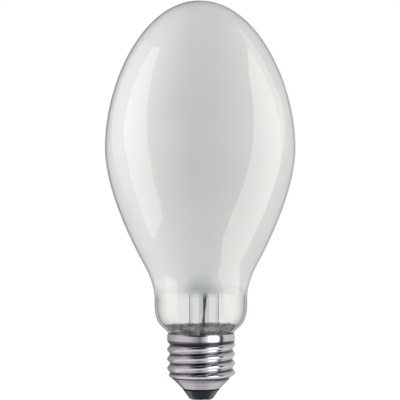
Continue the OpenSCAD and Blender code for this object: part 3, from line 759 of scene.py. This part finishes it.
def blackGlassMaterial():
    m = Mat("blackGlass")
    b = blackLook
    cloud = m.noise(350, 3)
    tone = m.blend(cloud.between(0.35, 0.7), b["deep"], b["pale"])
    facing = m.add("ShaderNodeLayerWeight", inputs={"Blend": 0.5}, out=1)
    body = m.principled(colour=tone, rough=cloud * 0.08 + 0.08, ior=1.5, specular=0.25,
                        coat=facing.between(*b["coatFacing"]), coatRough=0.12,
                        normal=m.bump(m.noise(240, 2), 0.35, 0.0002))
    # painted shadow under the cap's edge: a dull black layer
    edgeShadow = m.principled(colour=b["edgeShadow"], rough=0.9, specular=0.05)
    m.output(m.mixShaders(m.axis("Z").between(*b["edgeShadowHeights"]) * b["edgeShadowCover"], body, edgeShadow))
    return m.material


look = {name: clearGlass(name, **values) for name, values in glasses.items()}
look.update({name: metalMaterial(name, *values) for name, values in metals.items()})
look.update({name: ceramicMaterial(name, *values) for name, values in ceramics.items()})
print("materials ready")

buildBulb(look["bulbGlass"], look["bulbGlassInside"])
buildCoating(coatingMaterial())
print("bulb built")
buildShell(nickelMaterial())
buildInsulator(blackGlassMaterial())
buildContact(look["contactNickel"])
buildSolder(look["solderMetal"])
print("cap built")
buildStem(look["stemGlass"], look["stemGlassInside"])
buildExhaust(look["exhaustGlass"])
buildLead(look["oxidisedLead"])
print("stem built")

nodeLooks = {
    "shell_lead": "oxidisedLead", "side_rod": "nickelWire", "lower_strap": "strapNickel",
    "upper_strap": "strapNickel", "flexible_lead": "nickelWire", "getter_arm": "nickelWire",
    "getter_ring": "getterSteel", "arc_tube": "alumina", "lower_plug": "aluminaPlug",
    "upper_plug": "aluminaPlug", "lower_seal": "sealGlass", "upper_seal": "sealGlass",
    "lower_niobium_tube": "niobium", "upper_niobium_tube": "niobium",
    "lower_electrode": "tungsten", "upper_electrode": "tungsten", "lower_coil": "tungsten",
    "upper_coil": "tungsten", "amalgam": "amalgam", "cap_cement": "cement",
    "side_solder": "solderMetal",
}
for nodeName, lookName in nodeLooks.items():
    dressNode(nodeName, look[lookName])
print("inner pieces dressed")


# Camera: its picture spans 155.3 mm at the lamp's axis, from 1.1 to 156.4 mm high
view = {"distance": 0.65, "height": 0.070, "span": 0.1553, "middle": 0.07875,
        "axisShift": -0.0002, "roll": 0.25, "sensor": 36}


def buildCamera():
    data = bpy.data.cameras.new("photoCamera")
    data.sensor_width = view["sensor"]
    data.lens = view["sensor"] * view["distance"] / view["span"]
    data.shift_y = (view["middle"] - view["height"]) / view["span"]
    data.clip_start = 0.01
    camera = bpy.data.objects.new("photoCamera", data)
    camera.location = (view["axisShift"], -view["distance"], view["height"])
    camera.rotation_euler = (radians(90), radians(view["roll"]), 0)
    bpy.context.scene.collection.objects.link(camera)
    bpy.context.scene.camera = camera


# Lights: two soft boxes with weaker outer parts that only the bulb mirrors, soft side light, and a
# card in six strips (start angle, end angle, level) for the cap's metal. A box has its side, its
# level and its outline, as (angle round the lamp, height in metres) at the box distance
lights = {
    "boxDistance": 0.62, "boxColour": (1.1, 0.97, 0.86),
    "boxes": {
        "leftBox": (-1, 2.1, ((61, -0.37), (61, 0.04), (66, 0.23), (86, 0.83), (104, 0.7),
                              (104, 0.2), (97, 0.04), (97, -0.33), (90, -0.37))),
        "leftOuter": (-1, 0.4, ((104, 0.7), (138, 0.5), (138, 0.23), (123, 0.03), (108, -0.26),
                                (97, -0.33), (97, 0.04), (104, 0.2))),
        "rightBox": (1, 2.4, ((50, -0.4), (58, -0.2), (66, 0.23), (78.5, 0.56), (104, 0.7),
                              (112, 0.2), (112, 0.02), (108, -0.19), (105, -0.29), (100, -0.6),
                              (53, -0.75), (44, -0.6))),
        "rightOuter": (1, 1.0, ((104, 0.7), (128, 0.89), (118, 0.47), (127, 0.26), (123, 0.18),
                                (112, 0.02), (112, 0.2))),
    },
    "softLeft": 3.1, "softRight": 2.3, "softSize": (0.5, 0.9), "softDistance": 0.7,
    "softForward": -0.05, "softHeight": 0.25, "softAim": (0, 0, 0.09),
    "cardStrips": ((14, 20, 0.2), (20, 25, 0.45), (25, 31, 0.9), (31, 58, 1.45), (58, 63, 0.9),
                   (63, 67, 0.4)),
    "cardDistance": 0.4, "cardMiddle": 0.17, "cardTall": 0.8,
    "cardFor": ("screw_shell", "contact_plate", "contact_drop"),
    "fillUp": 0.83, "fillDown": 0.64, "fillRange": (-0.8, 0.8),
}


def areaLight(name, centre, target, width, height, level, glossOnly=False):
    data = bpy.data.lights.new(name, "AREA")
    data.shape = "RECTANGLE"
    data.size = width
    data.size_y = height
    data.energy = level * pi * width * height    # gives that radiance
    lamp = bpy.data.objects.new(name, data)
    lamp.location = centre
    direction = Vector(target) - Vector(centre)
    lamp.rotation_euler = direction.to_track_quat("-Z", "Y").to_euler()
    lamp.visible_diffuse = not glossOnly
    bpy.context.scene.collection.objects.link(lamp)
    return lamp


def onlyFor(lamp, pieceNames):
    group = bpy.data.collections.new(lamp.name + "Receivers")
    for pieceName in pieceNames:
        group.objects.link(bpy.data.objects[pieceName])
    lamp.light_linking.receiver_collection = group


# A glowing sheet with a free outline: it adds its light and lets what is behind it show
def softBox(name, side, level, outline):
    m = Mat(name)
    glow = m.add("ShaderNodeEmission", inputs={"Color": (*lights["boxColour"], 1),
                                               "Strength": level})
    clear = m.add("ShaderNodeBsdfTransparent", inputs={"Color": (1, 1, 1, 1)})
    m.output(m.add("ShaderNodeAddShader", inputs={0: glow, 1: clear}))
    reach = lights["boxDistance"] / mm
    points = [(side * reach * sin(radians(a)), -reach * cos(radians(a)), height / mm)
              for a, height in outline]
    middle = tuple(sum(p[k] for p in points) / len(points) for k in range(3))
    count = len(points)
    sheet = makeMesh(name, points + [middle],
                     [[k, (k + 1) % count, count] for k in range(count)], smooth=False)
    sheet.data.materials.append(m.material)
    sheet.visible_camera = False
    sheet.visible_diffuse = False
    sheet.visible_shadow = False
    onlyFor(sheet, ["bulb_glass"])


def buildLights():
    for name, (side, level, outline) in lights["boxes"].items():
        softBox(name, side, level, outline)
    for side, name in ((-1, "softLeft"), (1, "softRight")):
        centre = (side * lights["softDistance"], lights["softForward"], lights["softHeight"])
        soft = areaLight(name, centre, lights["softAim"], *lights["softSize"], lights[name])
        soft.visible_glossy = False
    for index, (start, end, level) in enumerate(lights["cardStrips"]):
        middle = radians((start + end) / 2)
        width = 2 * lights["cardDistance"] * tan(radians((end - start) / 2))
        height = lights["cardMiddle"]
        centre = (lights["cardDistance"] * sin(middle), -lights["cardDistance"] * cos(middle),
                  height)
        card = areaLight("card%d" % index, centre, (0, 0, height), width, lights["cardTall"],
                         level, True)
        onlyFor(card, lights["cardFor"])


# Studio that metal and glass mirror, by angle round the lamp: a pale level band, a dark front
# above it, a dark ceiling, and below the level a bright table that ends in the lamp's own shade
studio = {
    "levelBand": [(-180, (0.1, 0.09, 0.1)), (-160, (0.3, 0.29, 0.3)), (-110, (0.45, 0.44, 0.46)),
                  (-85, (0.66, 0.65, 0.66)), (-40, (0.64, 0.63, 0.66)), (-18, (0.4, 0.38, 0.44)),
                  (-3, (0.21, 0.19, 0.26)), (11, (0.6, 0.58, 0.64)), (64, (0.42, 0.42, 0.46)),
                  (70, (0.07, 0.055, 0.1)), (78, (0.1, 0.085, 0.14)), (88, (0.66, 0.7, 0.69)),
                  (155, (0.58, 0.61, 0.6)), (180, (0.3, 0.3, 0.3))],
    "upper": [(-180, (0.1, 0.09, 0.1)), (-150, (0.33, 0.3, 0.32)), (-110, (0.42, 0.38, 0.41)),
              (-75, (0.62, 0.58, 0.6)), (-54, (0.42, 0.39, 0.4)), (-38, (0.03, 0.025, 0.03)),
              (-20, (0.008, 0.006, 0.01)), (14, (0.01, 0.008, 0.014)), (22, (0.22, 0.2, 0.24)),
              (64, (0.22, 0.2, 0.25)), (70, (0.07, 0.055, 0.1)), (78, (0.1, 0.085, 0.14)),
              (88, (0.5, 0.49, 0.52)), (155, (0.45, 0.44, 0.47)), (180, (0.3, 0.3, 0.3))],
    "overhead": (0.03, 0.025, 0.035), "table": (0.82, 0.81, 0.82), "shade": (0.66, 0.65, 0.68),
    "upperFrom": (0.22, 0.36), "overheadFrom": (0.8, 0.95),
    "tableFrom": (0.5, 0.7), "shadeFrom": (0.93, 0.985),
}


def buildWorld():
    world = bpy.data.worlds.new("studio")
    bpy.context.scene.world = world
    world.use_nodes = True
    m = Mat("studio", world.node_tree)
    ray = m.tree.nodes.new("ShaderNodeLightPath")
    isCamera = Sock(m, ray.outputs["Is Camera Ray"])
    isGlossy = Sock(m, ray.outputs["Is Glossy Ray"])
    where = m.tree.nodes.new("ShaderNodeSeparateXYZ")
    m.tree.links.new(m.add("ShaderNodeTexCoord", out=0).socket, where.inputs[0])
    x, y, z = (Sock(m, where.outputs[k]) for k in range(3))
    angle = m.add("ShaderNodeMath", {"operation": "ARCTAN2"}, {0: x, 1: 0 - y})
    angle = angle * (1 / (2 * pi)) + 0.5

    def around(stops):
        return m.add("ShaderNodeValToRGB",
                     {"stops": [((a + 180) / 360, colour) for a, colour in stops]}, {0: angle})

    down = 0 - z
    ring = m.blend(z.between(*studio["upperFrom"]), around(studio["levelBand"]),
                   around(studio["upper"]))
    ring = m.blend(z.between(*studio["overheadFrom"]), ring, studio["overhead"])
    ring = m.blend(down.between(*studio["tableFrom"]), ring, studio["table"])
    ring = m.blend(down.between(*studio["shadeFrom"]), ring, studio["shade"])
    fill = m.blend(z.between(*lights["fillRange"]), (lights["fillDown"],) * 3,
                   (lights["fillUp"],) * 3)
    seen = m.blend(isGlossy, fill, ring)
    final = m.blend(isCamera, seen, (1, 1, 1))
    m.output(m.add("ShaderNodeBackground", inputs={"Color": final, "Strength": 1.0}),
             "ShaderNodeOutputWorld")


# Floor: a pale disc under the lamp that turns into the white background at its edge. Mirrors show
# only its middle, because it lets their rays through past "open"
floor = {"radius": 0.12, "under": 0.02, "paper": (0.9, 0.9, 0.9), "fade": (0.04, 0.11),
         "glow": 0.4, "open": (0.002, 0.008)}


def buildFloor():
    m = Mat("paleFloor")
    ray = m.tree.nodes.new("ShaderNodeLightPath")
    isCamera = Sock(m, ray.outputs["Is Camera Ray"])
    isGlossy = Sock(m, ray.outputs["Is Glossy Ray"])
    place = m.add("ShaderNodeVectorMath", {"operation": "LENGTH"}, {0: m.place()}, out=1)
    away = place.between(*floor["fade"])
    paper = m.principled(colour=floor["paper"], rough=0.9)
    white = m.add("ShaderNodeEmission", inputs={"Color": (1, 1, 1, 1), "Strength": 1.0})
    glow = m.add("ShaderNodeEmission", inputs={"Color": (1, 1, 1, 1), "Strength": floor["glow"]})
    gone = m.add("ShaderNodeBsdfTransparent", inputs={"Color": (1, 1, 1, 1)})
    lit = m.add("ShaderNodeAddShader", inputs={0: paper, 1: glow})
    shown = m.mixShaders(away, lit, white)
    mirrored = m.mixShaders(isGlossy * place.between(*floor["open"]), paper, gone)
    m.output(m.mixShaders(isCamera, mirrored, shown))
    piece = lathe("pale_floor",
                  [(0, -floor["under"]), (floor["radius"] / mm, -floor["under"])], 96)
    piece.data.materials.append(m.material)


buildCamera()
buildLights()
buildWorld()
buildFloor()
bpy.context.scene.view_settings.view_transform = "Standard"
bpy.context.scene.cycles.transparent_max_bounces = 32    # a look through the neck crosses many walls
print("stage ready")
